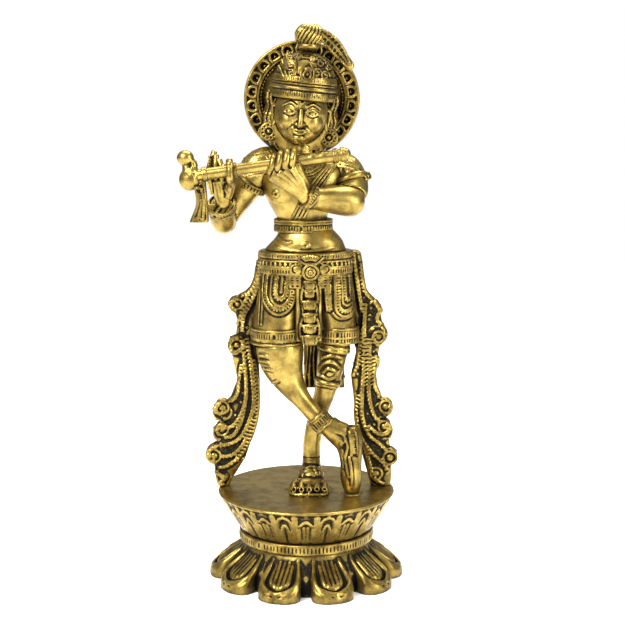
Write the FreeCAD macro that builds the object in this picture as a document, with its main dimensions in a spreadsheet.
import FreeCAD, Part
import math
import os

import Sketcher
from FreeCAD import Placement, Rotation, Vector

# A cast brass figure of the flute-playing deity, standing cross-legged on a lotus
# pedestal, with a halo behind the head and two long scarves that run down to the base.
# Frame: origin at the centre of the pedestal's foot, +Z up, the figure faces -Y.
# The figure's own right arm and leg are on the -X side.

doc = FreeCAD.newDocument("flute_figure")
sheet = doc.addObject("Spreadsheet::Sheet", "Sizes")
NODES = {}

# ---------------------------------------------------------------- driving sizes, in mm
SIZES = [
    # pedestal
    ("petal_tip_radius", 41.3),
    ("petal_count", 10),
    ("petal_edge", 3.4),
    ("petal_root_radius", 31.0),
    ("petal_gap", 4.6),
    ("skirt_waist_radius", 25.6),
    ("skirt_top", 16.4),
    ("skirt_wall", 3.2),
    ("bead_ring_radius", 28.7),
    ("bead_ring_height", 4.6),
    ("bowl_foot_radius", 27.4),
    ("bowl_rim_radius", 37.2),
    ("bowl_height", 16.4),
    ("rim_lip", 2.2),
    ("bowl_wall", 2.6),
    # levels of the figure, each above the one before
    ("hip_rise", 93.6),
    ("waist_rise", 18.0),
    ("shoulder_rise", 21.0),
    ("head_rise", 25.5),
    # fixing under the plate
    ("stud_radius", 2.0),
    ("stud_clearance", 0.1),
    ("stud_length", 17.0),
    ("stud_in_foot", 7.0),
    ("washer_radius", 6.0),
    ("washer_thick", 1.0),
    ("nut_across_flats", 7.0),
    ("nut_thick", 3.2),
    # flute
    ("flute_radius", 2.4),
    ("flute_left_x", -43.2),
    ("flute_right_x", 16.9),
    ("flute_front_y", -17.6),
    ("flute_left_rise", 1.0),
    ("flute_right_rise", 9.5),
    ("flute_ring_wall", 0.6),
    ("flute_ring_length", 1.9),
    ("grip_clearance", 0.05),
    ("finger_radius", 1.6),
    # head, crown and halo
    ("head_half_width", 11.0),
    ("head_half_depth", 10.6),
    ("head_half_height", 13.0),
    ("head_x", -1.9),
    ("head_y", -3.2),
    ("head_tilt", 6.0),
    ("chin_radius", 5.4),
    ("crown_band_radius", 12.8),
    ("crown_band_height", 4.6),
    ("crown_height", 15.0),
    ("crown_top_radius", 9.6),
    ("topknot_half_width", 5.9),
    ("topknot_half_height", 4.6),
    ("feather_half_length", 9.4),
    ("feather_half_width", 2.6),
    ("medallion_half_height", 3.5),
    ("medallion_half_width", 2.7),
    ("side_leaf_half_height", 4.6),
    ("side_leaf_half_width", 2.6),
    ("halo_radius", 23.7),
    ("halo_x", -1.7),
    ("halo_rise", 4.9),
    ("halo_y", 8.6),
    ("halo_thick", 1.8),
    ("halo_rim_width", 6.2),
    ("halo_rim_thick", 3.0),
    ("halo_cell_count", 22),
    ("halo_cell_radius", 1.3),
    ("halo_cell_depth", 1.4),
    ("earring_radius", 3.9),
    ("earring_thick", 3.4),
    ("halo_pin_radius", 1.5),
    ("pin_head_radius", 2.6),
    ("pin_head_thick", 1.2),
    # bands and ornaments
    ("band_wall", 0.8),
    ("toe_count", 5),
    ("toe_radius", 1.6),
    ("toe_first_x", -4.7),
    ("toe_pitch", 3.05),
    ("anklet_length", 6.6),
    ("knee_band_length", 1.7),
    ("bangle_length", 4.4),
    ("armlet_cord", 3.0),
    ("waist_band_height", 5.2),
    ("belt_height", 2.7),
    ("belt_gap", 0.5),
    ("belt_wall", 1.1),
    ("belt_count", 3),
    ("hem_height", 6.6),
    ("hem_wall", 0.7),
    ("brooch_radius", 3.4),
    ("brooch_thick", 2.6),
    ("brooch_wing", 3.2),
    ("sash_half_width", 5.4),
    ("sash_thick", 3.4),
    ("sash_drop", 27.0),
    ("tail_half_width", 8.6),
    ("tail_thick", 3.0),
    ("tail_drop", 27.0),
    ("necklace_radius", 9.4),
    ("necklace_cord", 1.5),
    ("necklace_count", 3),
    ("braze_radius", 12.6),
    ("braze_thick", 0.7),
    ("braze_toe_radius", 5.6),
]

# Heights are measured from one of these levels: each is a sum of the sizes it names.
LEVELS = {
    "ground": [],
    "plate": ["skirt_top", "bead_ring_height", "bowl_height"],
}
LEVELS["hip"] = LEVELS["plate"] + ["hip_rise"]
LEVELS["waist"] = LEVELS["hip"] + ["waist_rise"]
LEVELS["shoulder"] = LEVELS["waist"] + ["shoulder_rise"]
LEVELS["head"] = LEVELS["shoulder"] + ["head_rise"]

# Limbs and cloth are lofts through sections. A section is its level, the place of its
# centre (x, y and height above the level), and its half width and half depth. A round
# section has no half depth. The long side of an oval lies along X, or along Y for feet.
SECTIONS = {
    "standing_ankle": [
        ("plate", 2.0, 2.0, 1.0, 4.6, 6.4),
        ("plate", 2.2, 2.4, 7.0, 4.4, 5.2),
        ("plate", 2.2, 2.8, 10.0, 4.0, 4.2),
        ("plate", 2.2, 3.2, 13.0, 3.8, 3.8),
    ],
    "standing_sole": [
        ("plate", 2.2, 7.4, 2.6, 2.4, 2.0),
        ("plate", 2.2, 4.0, 3.4, 4.4, 3.2),
        ("plate", 2.0, -2.0, 4.0, 5.2, 3.7),
        ("plate", 1.7, -7.0, 3.1, 6.6, 2.9),
        ("plate", 1.5, -10.6, 2.4, 7.0, 2.2),
    ],
    "standing_shin": [
        ("plate", 2.2, 3.2, 13.0, 3.8, None),
        ("plate", 2.4, 3.5, 18.0, 3.8, None),
        ("plate", 7.0, 3.2, 37.5, 4.4, None),
        ("plate", 9.4, 2.6, 47.0, 5.3, None),
        ("plate", 10.6, 1.6, 55.0, 6.1, None),
        ("plate", 12.6, 1.2, 63.0, 6.3, None),
    ],
    "crossed_shin": [
        ("plate", -11.2, -2.4, 63.0, 9.8, None),
        ("plate", -10.0, -3.0, 55.5, 9.2, None),
        ("plate", -7.2, -3.9, 47.5, 6.6, None),
        ("plate", -2.6, -5.2, 40.5, 4.3, None),
        ("plate", 2.6, -6.2, 34.4, 3.7, None),
        ("plate", 7.6, -7.0, 29.0, 3.5, None),
    ],
    "crossed_instep": [
        ("plate", 7.6, -7.0, 29.0, 3.5, None),
        ("plate", 11.4, -7.2, 25.8, 3.9, None),
        ("plate", 15.6, -7.2, 22.0, 4.2, None),
    ],
    "crossed_foot_block": [
        ("plate", 18.6, -6.8, 28.6, 2.4, None),
        ("plate", 18.6, -6.8, 26.8, 4.0, None),
        ("plate", 18.9, -6.9, 20.0, 4.6, None),
        ("plate", 18.7, -7.4, 11.0, 4.5, None),
        ("plate", 18.9, -7.9, 4.0, 4.1, None),
        ("plate", 19.2, -8.0, 0.0, 2.6, None),
    ],
    "right_thigh": [
        ("hip", -12.0, -1.4, -30.6, 9.9, None),
        ("hip", -11.8, -1.2, -21.0, 9.8, None),
        ("hip", -10.4, -0.4, -11.0, 9.7, None),
        ("hip", -8.9, 0.0, -1.0, 9.3, None),
    ],
    "left_thigh": [
        ("hip", 13.9, 0.4, -30.6, 7.0, None),
        ("hip", 12.8, 0.2, -21.0, 7.6, None),
        ("hip", 11.0, 0.0, -11.0, 8.5, None),
        ("hip", 9.2, 0.0, -1.0, 9.1, None),
    ],
    "hip_wrap": [
        ("hip", 0.0, 0.0, -7.0, 17.4, 10.0),
        ("hip", 0.0, 0.0, 0.0, 17.8, 10.8),
        ("hip", -0.2, 0.0, 7.8, 17.4, 10.2),
    ],
    "torso": [
        ("hip", -0.2, 0.0, 7.8, 17.0, 9.8),
        ("hip", 0.7, -0.4, 12.0, 14.2, 9.4),
        ("hip", -0.2, 0.0, 17.0, 10.8, 7.8),
        ("hip", -1.4, 0.2, 20.4, 10.2, 7.2),
        ("waist", -1.9, 0.0, 7.0, 12.0, 7.8),
        ("waist", -2.0, 0.0, 13.0, 15.0, 8.8),
        ("waist", -1.8, 0.4, 21.0, 17.2, 8.6),
        ("waist", -1.6, 1.0, 26.0, 13.6, 7.0),
        ("waist", -1.6, 1.0, 29.4, 6.4, 5.6),
    ],
    "neck": [
        ("waist", -1.6, 1.0, 29.4, 5.0, None),
        ("waist", -1.7, 0.2, 34.0, 4.6, None),
        ("waist", -1.8, -0.6, 38.6, 4.8, None),
    ],
    "right_upper_arm": [
        ("shoulder", -14.6, 2.4, 4.0, 4.4, None),
        ("shoulder", -19.4, 2.2, 0.6, 6.4, None),
        ("shoulder", -27.0, 1.6, -8.6, 6.0, None),
        ("shoulder", -32.4, 0.8, -16.8, 5.2, None),
    ],
    "right_forearm": [
        ("shoulder", -33.0, 2.4, -22.6, 2.8, None),
        ("shoulder", -33.4, 0.6, -20.6, 4.8, None),
        ("shoulder", -34.0, -3.0, -16.6, 5.3, None),
        ("shoulder", -34.2, -8.4, -11.4, 4.6, None),
    ],
    "right_palm": [
        ("shoulder", -34.2, -8.4, -11.4, 4.4, 3.4),
        ("shoulder", -33.4, -11.4, -5.4, 4.2, 2.9),
        ("shoulder", -33.2, -13.2, 0.0, 4.2, 2.4),
        ("shoulder", -34.2, -13.0, 5.0, 5.0, 2.2),
        ("shoulder", -35.2, -12.6, 9.0, 2.2, 1.4),
        ("shoulder", -35.6, -12.4, 11.0, 1.2, 0.9),
    ],
    "left_upper_arm": [
        ("shoulder", 11.6, 2.4, 4.4, 4.4, None),
        ("shoulder", 17.2, 2.0, 1.4, 6.0, None),
        ("shoulder", 19.0, -0.4, -3.6, 6.3, None),
        ("shoulder", 18.4, -4.4, -8.0, 6.2, None),
    ],
    "left_forearm": [
        ("shoulder", 22.6, -5.2, -11.2, 3.4, None),
        ("shoulder", 19.4, -6.4, -10.6, 6.0, None),
        ("shoulder", 12.6, -9.0, -9.6, 6.0, None),
        ("shoulder", 5.6, -12.4, -8.8, 4.8, None),
        ("shoulder", -0.2, -15.6, -7.8, 3.7, None),
    ],
    "left_palm": [
        ("shoulder", -0.2, -15.6, -7.8, 3.4, 3.0),
        ("shoulder", -4.0, -18.4, -2.4, 4.4, 2.9),
        ("shoulder", -9.0, -20.4, 3.6, 5.2, 2.6),
        ("shoulder", -10.4, -20.6, 7.0, 5.2, 2.4),
        ("shoulder", -10.6, -19.6, 10.6, 4.4, 1.9),
        ("shoulder", -10.4, -17.8, 12.2, 3.4, 1.3),
    ],
    "tassel": [
        ("shoulder", -42.0, -17.6, 0.2, 2.3, 1.7),
        ("shoulder", -41.2, -17.6, -9.0, 2.1, 1.6),
        ("shoulder", -41.8, -17.6, -13.6, 3.0, 2.0),
        ("shoulder", -42.6, -17.6, -17.6, 3.9, 2.3),
    ],
    "right_scarf_cloth": [
        ("hip", -16.0, 3.2, 7.4, 3.4, 2.4),
        ("hip", -16.2, 3.6, 0.6, 3.8, 2.4),
        ("hip", -18.2, 4.0, -7.6, 5.0, 2.4),
        ("hip", -23.4, 4.4, -15.4, 7.6, 2.4),
        ("hip", -24.0, 4.6, -23.0, 4.6, 2.4),
        ("hip", -25.6, 4.6, -31.0, 4.4, 2.4),
        ("plate", -25.6, 4.6, 57.0, 5.8, 2.4),
        ("plate", -24.2, 4.6, 46.0, 4.8, 2.4),
        ("plate", -26.2, 4.4, 36.0, 6.8, 2.5),
        ("plate", -29.2, 4.2, 24.0, 7.6, 2.5),
        ("plate", -32.6, 4.0, 12.0, 6.8, 2.5),
        ("plate", -35.0, 3.8, 3.0, 3.6, 2.4),
        ("plate", -35.2, 3.8, 0.0, 2.6, 2.2),
    ],
    "left_scarf_cloth": [
        ("hip", 17.6, 3.2, 7.4, 3.9, 2.4),
        ("hip", 18.4, 3.6, 0.0, 4.6, 2.4),
        ("hip", 19.6, 4.0, -9.0, 5.0, 2.4),
        ("hip", 23.8, 4.2, -17.4, 7.2, 2.4),
        ("hip", 25.2, 4.4, -27.0, 7.2, 2.4),
        ("hip", 25.8, 4.6, -35.0, 4.8, 2.4),
        ("plate", 24.2, 4.6, 48.0, 5.4, 2.4),
        ("plate", 25.4, 4.6, 38.0, 5.6, 2.4),
        ("plate", 27.6, 4.4, 26.0, 6.8, 2.5),
        ("plate", 30.0, 4.2, 13.0, 6.2, 2.5),
        ("plate", 31.4, 4.0, 3.0, 4.8, 2.4),
        ("plate", 31.6, 4.0, 0.0, 4.2, 2.2),
    ],
}

# Scroll ends that stand out from the scarves: level, x, height, and the scroll's radius.
SCROLLS = {
    "right_scarf": [
        ("hip", -29.2, -15.2, 3.2),
        ("hip", -29.4, -32.4, 3.4),
        ("plate", -35.4, 32.4, 4.1),
        ("plate", -35.8, 23.2, 3.8),
        ("plate", -38.4, 13.8, 4.3),
    ],
    "left_scarf": [
        ("hip", 28.4, -17.4, 3.3),
        ("hip", 29.4, -28.0, 3.7),
        ("plate", 32.4, 33.6, 3.7),
        ("plate", 33.0, 24.0, 3.7),
        ("plate", 34.8, 13.0, 3.9),
    ],
}
SCROLL_THICK = "scroll_thick"
SIZES.append((SCROLL_THICK, 5.0))
SIZES.append(("scroll_y", 1.8))


# ---------------------------------------------------------------- sheet and its helpers
def fill_sheet():
    """Writes every size as a plain number with its alias, one a row."""
    rows = list(SIZES)
    for limb_name, sections in SECTIONS.items():
        for number, (_, x, y, rise, wide, deep) in enumerate(sections, 1):
            stem = f"{limb_name}_{number}"
            rows += [(stem + "_x", x), (stem + "_y", y), (stem + "_rise", rise), (stem + "_wide", wide)]
            if deep is not None:
                rows.append((stem + "_deep", deep))
    for scarf, scrolls in SCROLLS.items():
        for number, (_, x, rise, radius) in enumerate(scrolls, 1):
            stem = f"{scarf}_scroll_{number}"
            rows += [(stem + "_x", x), (stem + "_rise", rise), (stem + "_radius", radius)]
    for row, (alias, value) in enumerate(rows, 1):
        sheet.set(f"A{row}", alias)
        sheet.set(f"B{row}", str(value))
        sheet.setAlias(f"B{row}", alias)
    doc.recompute()


def size(*names):
    """The sum of the named sizes."""
    return sum(float(sheet.get(name)) for name in names)


def cells(*names):
    """The same sum as an expression."""
    return " + ".join("Sizes." + name for name in names) if names else "0"


def bind(thing, **expressions):
    """Ties properties to expressions. A double underscore in a name stands for a dot."""
    for name, expression in expressions.items():
        thing.setExpression(name.replace("__", "."), expression)
    return thing


def bind_place(thing, x, y, z):
    """Ties a placement's base to three expressions."""
    return bind(thing, Placement__Base__x=x, Placement__Base__y=y, Placement__Base__z=z)


def new(kind, name):
    return doc.addObject(kind, name)


def node(label, thing):
    """Names a finished sub-part."""
    thing.Label = label
    NODES[label] = thing
    return thing


def cut(name, base, *tools):
    """base without each tool in turn."""
    for number, tool in enumerate(tools, 1):
        made = new("Part::Cut", f"{name}_cut_{number}")
        made.Base, made.Tool = base, tool
        base = made
    return base


def fuse(name, *shapes):
    made = new("Part::MultiFuse", name)
    made.Shapes = list(shapes)
    return made


# ---------------------------------------------------------------- lofted limbs
def centre(limb_name, number):
    """The centre of a limb's section, from the sheet."""
    stem, level = f"{limb_name}_{number}", SECTIONS[limb_name][number - 1][0]
    return Vector(size(stem + "_x"), size(stem + "_y"), size(*LEVELS[level], stem + "_rise"))


def limb(limb_name, long_side=Vector(1, 0, 0), flat_ends=True, ruled=False):
    """A loft through the limb's sections, which lie square to its run. Flat ends lie level."""
    table, sections = SECTIONS[limb_name], []
    last = len(table)
    for number, (level, _, _, _, _, deep) in enumerate(table, 1):
        stem = f"{limb_name}_{number}"
        before, after = centre(limb_name, max(1, number - 1)), centre(limb_name, min(last, number + 1))
        normal = (after - before).normalize()
        if flat_ends:
            normal = Vector(0, 0, math.copysign(1, normal.z))
        if deep is None:
            section = bind(new("Part::Circle", stem), Radius=cells(stem + "_wide"))
        else:
            wide_cell, deep_cell = stem + "_wide", stem + "_deep"
            if long_side.y:
                wide_cell, deep_cell = deep_cell, wide_cell
            section = bind(
                new("Part::Ellipse", stem), MajorRadius=cells(wide_cell), MinorRadius=cells(deep_cell)
            )
        section.Placement = Placement(
            centre(limb_name, number), Rotation(long_side, Vector(), normal, "ZXY")
        )
        bind_place(
            section, cells(stem + "_x"), cells(stem + "_y"), cells(*LEVELS[level], stem + "_rise")
        )
        sections.append(section)
    loft = new("Part::Loft", limb_name)
    loft.Sections, loft.Solid, loft.Ruled = sections, True, ruled
    return loft


def band(name, limb_name, number, share, length_cell, wall_cell="band_wall"):
    """A round band on a limb, a share of the way from one section to the next."""
    low, high = centre(limb_name, number), centre(limb_name, number + 1)
    run = (high - low).normalize()
    first, second = (f"{limb_name}_{n}_wide" for n in (number, number + 1))
    made = bind(
        new("Part::Cylinder", name),
        Radius=f"Sizes.{first} * {1 - share} + Sizes.{second} * {share} + Sizes.{wall_cell}",
        Height=cells(length_cell),
    )
    middle = low + (high - low) * share
    made.Placement = Placement(
        middle - run * (size(length_cell) / 2), Rotation(Vector(0, 0, 1), run)
    )
    return made


def hoop(name, limb_name, number, share, cord_cell):
    """A round cord laid round a limb, a share of the way from one section to the next."""
    low, high = centre(limb_name, number), centre(limb_name, number + 1)
    first, second = (f"{limb_name}_{n}_wide" for n in (number, number + 1))
    made = bind(
        new("Part::Torus", name),
        Radius1=f"Sizes.{first} * {1 - share} + Sizes.{second} * {share}",
        Radius2=f"Sizes.{cord_cell} / 2",
    )
    made.Placement = Placement(low + (high - low) * share, Rotation(Vector(0, 0, 1), high - low))
    return made


def ellipsoid(name, across, deep, tall, place, tilt=0.0):
    """An ellipsoid with three expressions for its half axes, turned by tilt about Y."""
    made = bind(new("Part::Ellipsoid", name), Radius2=across, Radius3=deep, Radius1=tall)
    made.Angle1, made.Angle2, made.Angle3 = -90, 90, 360
    made.Placement = Placement(Vector(*place), Rotation(Vector(0, 1, 0), tilt))
    return made


def disc(name, radius, thick, place, axis=Vector(0, -1, 0)):
    """A cylinder with expressions for its radius and height."""
    made = bind(new("Part::Cylinder", name), Radius=radius, Height=thick)
    made.Placement = Placement(Vector(*place), Rotation(Vector(0, 0, 1), axis))
    return made


def oval_band(name, across, deep, tall, place):
    """An upright band of oval outline with expressions for its half axes and height."""
    oval = bind(new("Part::Ellipse", name + "_outline"), MajorRadius=across, MinorRadius=deep)
    oval.Placement = Placement(Vector(*place), Rotation())
    made = new("Part::Extrusion", name)
    made.Base, made.DirMode, made.Dir, made.Solid = oval, "Custom", Vector(0, 0, 1), True
    return bind(made, LengthFwd=tall)


def rods(name, radius, points):
    """Round rods through the points, domed at every bend and at the tip. The root is bare."""
    made = []
    for number, (start, end) in enumerate(zip(points, points[1:]), 1):
        shank = bind(new("Part::Cylinder", f"{name}_shank_{number}"), Radius=radius)
        shank.Height = (end - start).Length
        shank.Placement = Placement(start, Rotation(Vector(0, 0, 1), end - start))
        dome = bind(new("Part::Sphere", f"{name}_dome_{number}"), Radius=radius)
        dome.Placement = Placement(end, Rotation())
        made += [shank, dome]
    return made


def leaf_plate(name, long_cell, short, thick, place, turn):
    """An oval plate that faces the front, its long side turned from level by turn."""
    oval = bind(new("Part::Ellipse", name + "_outline"), MajorRadius=long_cell, MinorRadius=short)
    lean = Rotation(Vector(0, 1, 0), turn) * Rotation(Vector(1, 0, 0), 90)
    oval.Placement = Placement(Vector(*place), lean)
    made = new("Part::Extrusion", name)
    made.Base, made.DirMode, made.Dir, made.Solid = oval, "Custom", Vector(0, -1, 0), True
    return bind(made, LengthFwd=thick)


# ---------------------------------------------------------------- sketched bodies
def origin_plane(body, role):
    return next(f for f in body.Origin.OriginFeatures if f.Role == role)


def sketch_on(body, name, role):
    sketch = body.newObject("Sketcher::SketchObject", name)
    sketch.AttachmentSupport = [(origin_plane(body, role), "")]
    sketch.MapMode = "FlatFace"
    return sketch


def outline(sketch, points):
    """Closed outline of straight lines. Each point is (x terms, y terms), and each pair of
    terms is a number with an expression, which becomes a distance from the origin."""
    count = len(points)
    corners = [Vector(x[0], y[0], 0) for x, y in points]
    for i in range(count):
        sketch.addGeometry(Part.LineSegment(corners[i], corners[(i + 1) % count]), False)
    for i in range(count):
        sketch.addConstraint(Sketcher.Constraint("Coincident", i, 2, (i + 1) % count, 1))
    for i, (x, y) in enumerate(points):
        for kind, (value, expression) in (("DistanceX", x), ("DistanceY", y)):
            number = sketch.addConstraint(Sketcher.Constraint(kind, -1, 1, i, 1, value))
            if expression:
                sketch.setExpression(f"Constraints[{number}]", expression)


def term(*names, plus=0.0, times=1.0):
    """(value, expression) of a sum of sizes, times a factor, plus a number."""
    return size(*names) * times + plus, f"({cells(*names)}) * {times} + {plus}"


def turned(label, points):
    """A body of revolution about Z, from its half section in the XZ plane."""
    body = new("PartDesign::Body", label + "_body")
    sketch = sketch_on(body, label + "_profile", "XZ_Plane")
    outline(sketch, points)
    turn = body.newObject("PartDesign::Revolution", label + "_turn")
    turn.Profile = sketch
    turn.ReferenceAxis = (sketch, ["V_Axis"])
    turn.Angle = 360
    body.Tip = turn
    doc.recompute()
    return body


# ---------------------------------------------------------------- the pedestal
def pedestal():
    """Petal skirt, bead ring and bowl: three hollow castings stacked on one axis."""
    skirt = turned(
        "petal_skirt",
        [
            (term("petal_root_radius", plus=-size("skirt_wall")), (0.0, "0")),
            (term("petal_tip_radius"), (0.0, "0")),
            (term("petal_tip_radius"), term("petal_edge")),
            (term("petal_tip_radius", plus=-4.0), term("petal_edge", plus=1.4)),
            (term("petal_root_radius", plus=1.6), term("skirt_top", times=0.5)),
            (term("skirt_waist_radius", plus=0.6), term("skirt_top", times=0.78)),
            (term("skirt_waist_radius"), term("skirt_top")),
            (term("skirt_waist_radius", plus=-size("skirt_wall")), term("skirt_top")),
        ],
    )
    # the gaps between the petals: a flared notch, repeated round the axis
    gap = sketch_on(skirt, "petal_gap_outline", "XY_Plane")
    flank = [
        (term("petal_gap", times=0.1), term("petal_root_radius")),
        (term("petal_gap", times=0.35), term("petal_root_radius", plus=4.0)),
        (term("petal_gap", times=0.8), term("petal_root_radius", plus=7.4)),
        (term("petal_tip_radius", times=0.31), term("petal_tip_radius", plus=1.4)),
    ]
    mirrored = [((-x[0], f"-({x[1]})"), y) for x, y in reversed(flank)]
    outline(gap, flank + mirrored)
    pocket = skirt.newObject("PartDesign::Pocket", "petal_gap")
    pocket.Profile = gap
    pocket.Type = "ThroughAll"
    pocket.Midplane = True
    doc.recompute()
    around = skirt.newObject("PartDesign::PolarPattern", "petal_gaps")
    around.Originals = [pocket]
    around.Axis = (gap, ["N_Axis"])
    around.Angle = 360
    around.setExpression("Occurrences", cells("petal_count"))
    skirt.Tip = around
    node("petal_skirt", skirt)

    low, high = ["skirt_top"], ["skirt_top", "bead_ring_height"]
    inner = size("bead_ring_radius") - size("bowl_wall") - 2.4
    node(
        "bead_ring",
        turned(
            "bead_ring",
            [
                ((inner, None), term(*low)),
                (term("bead_ring_radius", plus=-1.4), term(*low)),
                (term("bead_ring_radius"), term(*low, plus=1.3)),
                (term("bead_ring_radius"), term(*high, plus=-1.3)),
                (term("bead_ring_radius", plus=-1.0), term(*high)),
                ((inner, None), term(*high)),
            ],
        ),
    )
    plate = LEVELS["plate"]
    wall = size("bowl_wall")
    node(
        "lotus_bowl",
        turned(
            "lotus_bowl",
            [
                (term("stud_radius", "stud_clearance"), term(*plate, plus=-wall)),
                (term("bowl_rim_radius", plus=-wall * 1.6), term(*plate, plus=-wall)),
                (term("bowl_foot_radius", plus=-wall), term(*high)),
                (term("bowl_foot_radius"), term(*high)),
                (term("bowl_foot_radius", plus=3.2), term(*high, plus=4.4)),
                (term("bowl_rim_radius", plus=-1.7), term(*plate, plus=-size("rim_lip") - 3.0)),
                (term("bowl_rim_radius"), term(*plate, plus=-size("rim_lip"))),
                (term("bowl_rim_radius"), term(*plate)),
                (term("stud_radius", "stud_clearance"), term(*plate)),
            ],
        ),
    )


def fixing():
    """The stud, washer and nut that hold the figure to the plate from below."""
    plate = LEVELS["plate"]
    top = size(*plate) + size("stud_in_foot")
    stud = new("Part::Cylinder", "stud")
    bind(stud, Radius=cells("stud_radius"), Height=cells("stud_length"))
    stud.Placement = Placement(Vector(0, 0, top - size("stud_length")), Rotation())
    node("fixing_stud", stud)

    under = size(*plate) - size("bowl_wall")
    washer = disc(
        "washer_blank", cells("washer_radius"), cells("washer_thick"), (0, 0, under), Vector(0, 0, -1)
    )
    hole = disc(
        "washer_hole", cells("stud_radius", "stud_clearance"), "30 mm", (0, 0, under + 10), Vector(0, 0, -1)
    )
    node("fixing_washer", cut("washer", washer, hole))

    body = new("PartDesign::Body", "nut_body")
    sketch = sketch_on(body, "nut_outline", "XY_Plane")
    across = size("nut_across_flats")
    corner = across / math.sqrt(3)
    points = [
        Vector(corner * math.cos(math.radians(60 * i)), corner * math.sin(math.radians(60 * i)), 0)
        for i in range(6)
    ]
    for i in range(6):
        sketch.addGeometry(Part.LineSegment(points[i], points[(i + 1) % 6]), False)
    hole = size("stud_radius", "stud_clearance")
    bore = sketch.addGeometry(Part.Circle(Vector(), Vector(0, 0, 1), hole), False)
    for i in range(6):
        sketch.addConstraint(Sketcher.Constraint("Coincident", i, 2, (i + 1) % 6, 1))
    sketch.addConstraint(Sketcher.Constraint("Coincident", bore, 3, -1, 1))
    radius = sketch.addConstraint(Sketcher.Constraint("Radius", bore, hole))
    sketch.setExpression(f"Constraints[{radius}]", cells("stud_radius", "stud_clearance"))
    pad = body.newObject("PartDesign::Pad", "nut_pad")
    pad.Profile = sketch
    pad.setExpression("Length", cells("nut_thick"))
    body.Tip = pad
    body.Placement = Placement(
        Vector(0, 0, under - size("washer_thick") - size("nut_thick")), Rotation()
    )
    node("fixing_nut", body)


# ---------------------------------------------------------------- legs and feet
def legs():
    """Standing left leg, crossed right leg, and the bands on them."""
    plate = size(*LEVELS["plate"])
    toes = []
    for number in range(int(size("toe_count"))):
        x = size("toe_first_x") + size("toe_pitch") * number
        start = Vector(x, -9.4, plate + 2.2)
        tip = start + Vector(0, -2.6 + 0.35 * abs(number - 3), -0.5)
        toes += rods(f"toe_{number + 1}", cells("toe_radius"), [start, tip])
    under = new("Part::Box", "under_sole")
    under.Length, under.Width, under.Height = 40, 50, 10
    under.Placement = Placement(Vector(-20, -25, plate - 10), Rotation())
    ankle = limb("standing_ankle", long_side=Vector(0, 1, 0))
    sole = limb("standing_sole", flat_ends=False)
    foot = fuse("foot_blank", cut("foot_flat", fuse("foot_plain", ankle, sole), under), *toes)
    socket = disc(
        "stud_socket", cells("stud_radius", "stud_clearance"), cells("stud_in_foot"),
        (0, 0, size(*LEVELS["plate"])), Vector(0, 0, 1),
    )
    foot = node("standing_foot", cut("standing_foot", foot, socket))
    shin = node("standing_shin", limb("standing_shin"))
    crossed = limb("crossed_shin", flat_ends=False)
    top = centre("crossed_shin", 1).z
    above = new("Part::Box", "above_hem")
    above.Length, above.Width, above.Height = 80, 80, 20
    above.Placement = Placement(Vector(-40, -40, top), Rotation())
    crossed = node("crossed_shin", cut("crossed_shin", crossed, above))
    instep = limb("crossed_instep", flat_ends=False)
    block = limb("crossed_foot_block")
    blank = fuse("crossed_foot_blank", block, instep)
    crossed_foot = node("crossed_foot", cut("crossed_foot", blank, crossed))

    anklet = band("anklet", "crossed_shin", 5, 0.72, "anklet_length")
    node("crossed_anklet", cut("crossed_anklet", anklet, crossed, crossed_foot, shin))
    knee_band = band("knee_band", "standing_shin", 3, 0.8, "knee_band_length")
    node("knee_band", cut("knee_band_ring", knee_band, shin))

    thick, up = cells("braze_thick"), Vector(0, 0, 1)
    sole = disc("braze_sole", cells("braze_radius"), thick, (1.5, -4.0, plate), up)
    toe = disc("braze_toe", cells("braze_toe_radius"), thick, (19.2, -8.0, plate), up)
    stud = NODES["fixing_stud"]
    node("foot_braze", cut("foot_braze", fuse("braze_pads", sole, toe), foot, crossed_foot, stud))


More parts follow.
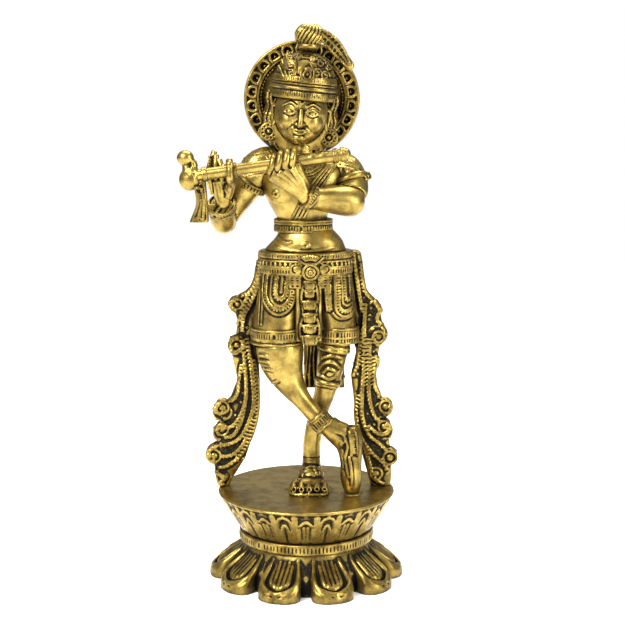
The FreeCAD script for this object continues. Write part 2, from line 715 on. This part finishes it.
# ---------------------------------------------------------------- cloth round the hips
def dhoti():
    """Hip wrap, the two cloth-covered thighs, hems, belts, sash and the tail behind."""
    wrap = node("hip_wrap", limb("hip_wrap"))
    right = node("right_thigh", cut("right_thigh", limb("right_thigh"), wrap))
    left = node("left_thigh", cut("left_thigh", limb("left_thigh"), wrap, right))
    hems = {}
    for side, thigh, other in (("right", right, left), ("left", left, right)):
        name = side + "_hem"
        ring = new("Part::Cylinder", name)
        bind(ring, Radius=cells(f"{side}_thigh_1_wide", "hem_wall"), Height=cells("hem_height"))
        ring.Placement = Placement(centre(side + "_thigh", 1), Rotation())
        hems[side] = cut(name, ring, thigh, other, *([hems["right"]] if hems else []))
        node(side + "_hem_band", hems[side])

    hip = size(*LEVELS["hip"])
    across, deep = cells("hip_wrap_2_wide", "belt_wall"), cells("hip_wrap_2_deep", "belt_wall")
    rings = []
    for number in range(int(size("belt_count"))):
        base = hip - 1.2 + number * (size("belt_height") + size("belt_gap"))
        ring = oval_band(f"belt_{number + 1}", across, deep, cells("belt_height"), (0, 0, base))
        rings.append(cut(f"belt_ring_{number + 1}", ring, wrap, right, left))
    belts = node("hip_belts", fuse("belts", *rings))

    front = -size("hip_wrap_2_deep", "belt_wall")
    middle = (1.4, front, hip + 0.6)
    boss = disc(
        "brooch_boss", cells("brooch_radius"), cells("brooch_thick"), (middle[0], front + 1.0, middle[2])
    )
    back = front + 2.2
    wings = [
        leaf_plate(
            f"brooch_wing_{number}", cells("brooch_wing"), "1.9 mm", "3.4 mm",
            (middle[0] + across_by, back, middle[2] + up), turn,
        )
        for number, across_by, up, turn in ((1, -4.8, 0.8, 14), (2, 4.8, 1.4, -14))
    ]
    fan = leaf_plate(
        "brooch_fan", cells("brooch_wing"), "2.2 mm", "3.2 mm", (middle[0], back, middle[2] + 4.6), 90
    )
    brooch = fuse("brooch_blank", boss, *wings, fan)
    behind = oval_band("brooch_seat", across, deep, "40 mm", (0, 0, hip - 14))
    brooch = node("belt_brooch", cut("belt_brooch", brooch, behind))

    sash_top = middle[2] - size("brooch_radius") + 1.0
    sash = new("Part::Box", "sash_blank")
    bind(sash, Length="2 * Sizes.sash_half_width", Width=cells("sash_thick"), Height=cells("sash_drop"))
    sash.Placement = Placement(
        Vector(1.1 - size("sash_half_width"), front - 0.6, sash_top - size("sash_drop")), Rotation()
    )
    soft = new("Part::Fillet", "sash_soft")
    soft.Base = sash
    doc.recompute()
    upright = [i for i, e in enumerate(sash.Shape.Edges, 1) if abs(e.tangentAt(e.FirstParameter).z) > 0.9]
    soft.Edges = [(i, 1.2, 1.2) for i in upright]
    sash = cut("front_sash", soft, right, left, wrap, belts, brooch, hems["right"], hems["left"])
    node("front_sash", sash)

    tail = new("Part::Box", "tail_blank")
    bind(tail, Length="2 * Sizes.tail_half_width", Width=cells("tail_thick"), Height=cells("tail_drop"))
    tail.Placement = Placement(
        Vector(7.6 - size("tail_half_width"), 7.2, hip - 25.0 - size("tail_drop")), Rotation()
    )
    node(
        "rear_cloth_tail",
        cut(
            "rear_cloth_tail", tail, right, left, NODES["standing_shin"], NODES["knee_band"],
            hems["right"], hems["left"],
        ),
    )


# ---------------------------------------------------------------- torso
def torso():
    """Belly, chest and neck, with the waist band, the necklaces and the cord of cloth."""
    trunk = node("torso", cut("torso", limb("torso"), NODES["hip_wrap"], NODES["hip_belts"]))
    node("neck", limb("neck"))
    ring = oval_band(
        "waist_ring", cells("torso_3_wide", "band_wall"), cells("torso_3_deep", "band_wall"),
        cells("waist_band_height"),
        (size("torso_4_x") + 0.3, size("torso_4_y"), size(*LEVELS["waist"]) - 2.4),
    )
    node("waist_band", cut("waist_band", ring, trunk))

    chest = size(*LEVELS["waist"], "torso_8_rise")
    strands = []
    for number in range(int(size("necklace_count"))):
        strand = new("Part::Torus", f"strand_{number + 1}")
        bind(
            strand,
            Radius1=f"Sizes.necklace_radius - {2.4 * number}",
            Radius2="Sizes.necklace_cord / 2 + 0.3",
        )
        strand.Placement = Placement(
            Vector(size("torso_8_x"), -2.4, chest + 1.0 + 1.2 * number), Rotation(Vector(1, 0, 0), 40)
        )
        strands.append(cut(f"strand_ring_{number + 1}", strand, trunk, NODES["neck"]))
    node("necklaces", fuse("necklace_strands", *strands))

    shoulder = Vector(11.5, -6.6, chest - 1.2)
    hip_side = Vector(-5.6, -8.2, size(*LEVELS["waist"], "torso_5_rise") - 4.4)
    run = hip_side - shoulder
    strap = new("Part::Box", "strap_blank")
    strap.Length, strap.Width, strap.Height = 5.0, 3.6, run.Length
    facing = Rotation(Vector(1, 0, 0), Vector(), run, "ZXY")
    strap.Placement = Placement(shoulder - facing.multVec(Vector(2.5, 1.8, 0)), facing)
    node("chest_sash", cut("chest_sash", strap, trunk, NODES["necklaces"], NODES["waist_band"]))


# ---------------------------------------------------------------- flute and arms
def flute():
    """The side-blown flute, its rings, the bird on its head end and the tassel."""
    shoulder = size(*LEVELS["shoulder"])
    left = Vector(size("flute_left_x"), size("flute_front_y"), shoulder + size("flute_left_rise"))
    right = Vector(size("flute_right_x"), size("flute_front_y"), shoulder + size("flute_right_rise"))
    run = (right - left).normalize()
    along = (right - left).Length
    tube = new("Part::Cylinder", "flute_tube")
    bind(tube, Radius=cells("flute_radius"))
    tube.Height = along
    tube.Placement = Placement(left, Rotation(Vector(0, 0, 1), run))
    node("flute_tube", tube)
    rings = []
    for number, share in enumerate((0.035, 0.23, 0.90, 0.95)):
        ring = disc(
            f"flute_ring_{number + 1}", cells("flute_radius", "flute_ring_wall"),
            cells("flute_ring_length"), left + run * (along * share), run,
        )
        rings.append(cut(f"flute_ring_bore_{number + 1}", ring, tube))
    rings = node("flute_rings", fuse("flute_ring_set", *rings))
    bird_at = left + Vector(-3.0, 0, -1.6)
    head_at = left + Vector(-4.6, 0, 7.0)
    body = ellipsoid("bird_body", "4.2 mm", "3.6 mm", "4.6 mm", bird_at)
    neck = new("Part::Cone", "bird_neck")
    neck.Radius1, neck.Radius2, neck.Height = 3.0, 1.6, 7.0
    neck.Placement = Placement(bird_at, Rotation(Vector(0, 0, 1), head_at - bird_at))
    crown = ellipsoid("bird_head", "3.4 mm", "2.9 mm", "3.0 mm", head_at)
    bird = fuse("bird_blank", body, neck, crown)
    bird = node("flute_bird", cut("flute_bird", bird, tube, rings))
    tassel = limb("tassel")
    node("flute_tassel", cut("flute_tassel", tassel, bird, tube, rings))
    return tube, left, run, along


def fingers(side):
    """Finger rods of one hand: they rise beside the flute, or curl over it from behind."""
    shoulder = size(*LEVELS["shoulder"])
    made = []
    if side == "left":
        for number in range(4):
            root = Vector(-15.0 + 3.2 * number, -20.6, shoulder + 2.2 + 0.5 * number)
            tip = root + Vector(0.6, 1.4, 6.4)
            made += rods(f"left_finger_{number + 1}", cells("finger_radius"), [root, tip])
        thumb = Vector(-2.4, -18.4, shoulder - 0.6)
        made += rods("left_thumb", cells("finger_radius"), [thumb, thumb + Vector(0.4, -2.2, 7.6)])
    else:
        for number in range(3):
            root = Vector(-36.4 + 2.6 * number, -12.4, shoulder + 3.0)
            tip = root + Vector(-0.9 + 0.5 * number, 0, 4.4 - 1.8 * number)
            made += rods(f"right_finger_{number + 1}", cells("finger_radius"), [root, tip])
        hook = [(-31.6, -13.6, -6.6), (-30.6, -21.2, -2.4), (-30.6, -21.6, 4.6), (-31.0, -18.2, 7.6)]
        hook = [Vector(x, y, shoulder + rise) for x, y, rise in hook]
        made += rods("right_hook", cells("finger_radius"), hook)
    return made


def arms(tube):
    """Both arms and hands, with armlets and bangles. The hands hold the flute."""
    trunk = NODES["torso"]
    grip = new("Part::Cylinder", "grip_bore")
    bind(grip, Radius=cells("flute_radius", "grip_clearance"))
    grip.Height, grip.Placement = tube.Height, tube.Placement
    for side in ("right", "left"):
        upright = Vector(0, 0, 1) if side == "left" else Vector(1, 0, 0)
        whole = limb(f"{side}_forearm", upright, flat_ends=False)
        whole_upper = limb(f"{side}_upper_arm", flat_ends=False)
        node(f"{side}_upper_arm", cut(f"{side}_upper_arm", whole_upper, whole, trunk))
        forearm = cut(f"{side}_forearm", whole, trunk)
        if side == "left":
            forearm = cut("left_forearm_clear", forearm, NODES["necklaces"], NODES["chest_sash"])
        node(f"{side}_forearm", forearm)
        palm = limb(f"{side}_palm", flat_ends=side == "right")
        for number, finger in enumerate(fingers(side), 1):
            palm = fuse(f"{side}_hand_with_{number}", palm, finger)
        palm = cut(f"{side}_hand", palm, grip, forearm)
        palm = cut(f"{side}_hand_clear", palm, NODES["flute_rings"])
        node(f"{side}_hand", palm)
        place = 3 if side == "right" else 4
        bangle = band(f"{side}_bangle", f"{side}_forearm", place, 0.75, "bangle_length")
        node(f"{side}_bangles", cut(f"{side}_bangles", bangle, forearm, palm, NODES["flute_tassel"]))
        share = 0.5 if side == "right" else 0.85
        armlet = hoop(f"{side}_armlet", f"{side}_upper_arm", 2, share, "armlet_cord")
        node(f"{side}_armlet", cut(f"{side}_armlet", armlet, whole_upper, trunk))


# ---------------------------------------------------------------- halo, head and crown
def halo():
    """The halo plate behind the head with its pin, and its raised rim of round cells."""
    level = size(*LEVELS["head"])
    at = Vector(size("halo_x"), size("halo_y"), level + size("halo_rise"))
    plate = disc("halo_blank", cells("halo_radius"), cells("halo_thick"), at, Vector(0, 1, 0))
    shank = disc(
        "halo_pin_shank", cells("halo_pin_radius"), "7 mm", at - Vector(0, 4.2, 0), Vector(0, 1, 0)
    )
    pin_head = disc(
        "halo_pin_head", cells("pin_head_radius"), cells("pin_head_thick"),
        at + Vector(0, size("halo_thick"), 0), Vector(0, 1, 0),
    )
    pin = node("halo_pin", fuse("halo_pin_blank", shank, pin_head))
    trunk, arms_met = NODES["torso"], (NODES["right_upper_arm"], NODES["left_upper_arm"])
    plate = node("halo_plate", cut("halo_plate", plate, pin, trunk))

    body = new("PartDesign::Body", "halo_rim_body")
    sketch = sketch_on(body, "halo_rim_outline", "XY_Plane")
    for names in (["halo_radius"], ["halo_radius", "halo_rim_width"]):
        value = size(names[0]) - sum(size(name) for name in names[1:])
        number = sketch.addGeometry(Part.Circle(Vector(), Vector(0, 0, 1), value), False)
        sketch.addConstraint(Sketcher.Constraint("Coincident", number, 3, -1, 1))
        held = sketch.addConstraint(Sketcher.Constraint("Radius", number, value))
        sketch.setExpression(f"Constraints[{held}]", " - ".join("Sizes." + name for name in names))
    pad = body.newObject("PartDesign::Pad", "halo_rim_pad")
    pad.Profile = sketch
    pad.setExpression("Length", cells("halo_rim_thick"))
    cell = sketch_on(body, "halo_cell_outline", "XY_Plane")
    middle_radius = size("halo_radius") - size("halo_rim_width") / 2
    number = cell.addGeometry(
        Part.Circle(Vector(0, middle_radius, 0), Vector(0, 0, 1), size("halo_cell_radius")), False
    )
    held = cell.addConstraint(Sketcher.Constraint("Radius", number, size("halo_cell_radius")))
    cell.setExpression(f"Constraints[{held}]", cells("halo_cell_radius"))
    cell.addConstraint(Sketcher.Constraint("DistanceX", -1, 1, number, 3, 0))
    up = cell.addConstraint(Sketcher.Constraint("DistanceY", -1, 1, number, 3, middle_radius))
    cell.setExpression(f"Constraints[{up}]", "Sizes.halo_radius - Sizes.halo_rim_width / 2")
    doc.recompute()
    pit = body.newObject("PartDesign::Pocket", "halo_cell")
    pit.Profile = cell
    pit.Reversed = True
    pit.setExpression("Length", cells("halo_cell_depth"))
    doc.recompute()
    around = body.newObject("PartDesign::PolarPattern", "halo_cells")
    around.Originals = [pit]
    around.Axis = (cell, ["N_Axis"])
    around.Angle = 360
    around.setExpression("Occurrences", cells("halo_cell_count"))
    body.Tip = around
    # the pocketed face looks forward, so the body is turned to stand behind the head
    body.Placement = Placement(
        at - Vector(0, size("halo_rim_thick"), 0), Rotation(Vector(1, 0, 0), -90)
    )
    doc.recompute()
    node("halo_rim", cut("halo_rim", body, trunk, *arms_met))


def head():
    """The head, hair, crown, crest and earrings, fitted in front of the halo."""
    level = size(*LEVELS["head"])
    middle = Vector(size("head_x"), size("head_y"), level)
    tilt = size("head_tilt")
    turn = Rotation(Vector(0, 1, 0), tilt)

    def at(x, y, z):
        return middle + turn.multVec(Vector(x, y, z))

    skull = ellipsoid(
        "skull", cells("head_half_width"), cells("head_half_depth"), cells("head_half_height"), middle, tilt
    )
    chin = ellipsoid(
        "chin", cells("chin_radius"), cells("chin_radius"), "5 mm", at(0, -4.0, -7.4), tilt
    )
    nose = new("Part::Cone", "nose")
    nose.Radius1, nose.Radius2, nose.Height = 1.7, 0.5, 5.6
    nose.Placement = Placement(
        at(0, -10.2, -2.6), turn.multiply(Rotation(Vector(1, 0, 0), -8))
    )
    blank = fuse("head_blank", skull, chin, nose)
    face = node("head", cut("head", blank, NODES["neck"], NODES["halo_pin"]))

    crown_base = size("crown_band_height")
    rows = []
    profile = [
        (6.4, "Sizes.crown_band_radius"),
        (6.4 + crown_base, "Sizes.crown_band_radius"),
        (12.6, "Sizes.crown_band_radius - 0.4"),
        (19.6, "Sizes.crown_top_radius + 1.2"),
        (6.4 + size("crown_height") + 2.8, "Sizes.crown_top_radius - 2"),
    ]
    for number, (rise, radius) in enumerate(profile, 1):
        ring = bind(new("Part::Circle", f"crown_{number}"), Radius=radius)
        ring.Placement = Placement(at(0.2, 0.6, rise), turn)
        rows.append(ring)
    band_loft = new("Part::Loft", "crown_band_loft")
    band_loft.Sections, band_loft.Solid, band_loft.Ruled = rows[:2], True, True
    crown_loft = new("Part::Loft", "crown_loft")
    crown_loft.Sections, crown_loft.Solid, crown_loft.Ruled = rows[1:], True, False
    behind = new("Part::Box", "behind_halo_face")
    behind.Length, behind.Width, behind.Height = 90, 30, 120
    behind.Placement = Placement(Vector(-45, size("halo_y"), level - 60), Rotation())
    rim, pin = NODES["halo_rim"], NODES["halo_pin"]
    crown_band = node("crown_band", cut("crown_band", band_loft, face, behind))
    turban = node("crown_turban", cut("crown_turban", crown_loft, face, behind, rim, pin))

    front = -size("crown_band_radius") + 0.6
    gem = ellipsoid(
        "medallion", cells("medallion_half_width"), "1.8 mm", cells("medallion_half_height"),
        at(0.9, front - 0.2, 15.4), tilt,
    )
    node("crown_medallion", cut("crown_medallion", gem, turban, crown_band))
    leaf = ellipsoid(
        "side_leaf", cells("side_leaf_half_width"), "2.2 mm", cells("side_leaf_half_height"),
        at(-8.6, front + 3.6, 17.4), tilt - 12,
    )
    node("crown_side_leaf", cut("crown_side_leaf", leaf, turban, crown_band))

    ball = ellipsoid(
        "topknot_ball", cells("topknot_half_width"), cells("topknot_half_width"),
        cells("topknot_half_height"), at(0.2, 0.8, 30.6), tilt + 14,
    )
    ball = node("topknot", cut("topknot", ball, turban))
    feather = ellipsoid(
        "feather", cells("feather_half_width"), "1.7 mm", cells("feather_half_length"),
        at(12.2, -0.6, 25.6), tilt - 46,
    )
    node("crest_feather", cut("crest_feather", feather, ball, turban, behind))

    rings = {}
    for side, x in (("right", -12.2), ("left", 12.2)):
        stud = disc(
            f"{side}_earring_disc", cells("earring_radius"), cells("earring_thick"), at(x, 4.0, -9.2)
        )
        rings[side] = node(f"{side}_earring", cut(f"{side}_earring", stud, face))

    hair = ellipsoid("hair_blank", "15.2 mm", "8.0 mm", "17 mm", at(0, 5.4, -3.2), tilt)
    hair = cut(
        "hair", hair, NODES["necklaces"], face, crown_band, turban, behind, rim, pin, NODES["neck"],
        NODES["torso"],
        rings["right"], rings["left"], NODES["right_upper_arm"], NODES["left_upper_arm"],
    )
    node("hair", hair)


# ---------------------------------------------------------------- scarves
def scarves():
    """The two long scarves: a flat fall of cloth with scroll ends on its outer edge."""
    belts = oval_band(
        "belts_as_one", cells("hip_wrap_2_wide", "belt_wall"), cells("hip_wrap_2_deep", "belt_wall"),
        "Sizes.belt_count * (Sizes.belt_height + Sizes.belt_gap)", (0, 0, size(*LEVELS["hip"]) - 1.2),
    )
    for side in ("right", "left"):
        name = side + "_scarf"
        cloth = limb(name + "_cloth", ruled=True)
        scrolls = []
        for number, (level, _, _, _) in enumerate(SCROLLS[name], 1):
            stem = f"{name}_scroll_{number}"
            scroll = new("Part::Cylinder", stem)
            bind(scroll, Radius=cells(stem + "_radius"), Height=cells(SCROLL_THICK))
            scroll.Placement = Placement(
                Vector(size(stem + "_x"), size("scroll_y"), size(*LEVELS[level], stem + "_rise")),
                Rotation(Vector(1, 0, 0), -90),
            )
            scrolls.append(scroll)
        blank = fuse(name + "_blank", cloth, *scrolls)
        # the hem's whole blank is cut away, so no face lies on the seam of hem and thigh
        hem = doc.getObject(side + "_hem")
        node(name, cut(name, blank, belts, hem, NODES["hip_wrap"], NODES[side + "_thigh"]))


# ---------------------------------------------------------------- build, check, write
fill_sheet()
pedestal()
fixing()
legs()
dhoti()
torso()
tube, _, _, _ = flute()
arms(tube)
halo()
head()
scarves()
doc.recompute()

for thing in doc.Objects:
    wrong = [word for word in thing.State if word in ("Invalid", "Error")]
    if wrong:
        raise RuntimeError(f"{thing.Name} ({thing.Label}) is {wrong}")
for label, thing in NODES.items():
    shape = thing.Shape
    if shape.isNull() or not shape.isValid() or not shape.Solids:
        raise RuntimeError(f"{label} has no valid solid")

os.makedirs("parts", exist_ok=True)
for label, thing in NODES.items():
    thing.Shape.exportStep(os.path.join("parts", label + ".step"))
    print(f"{label:18s} {len(thing.Shape.Solids)} solids {thing.Shape.Volume:9.1f} mm3")
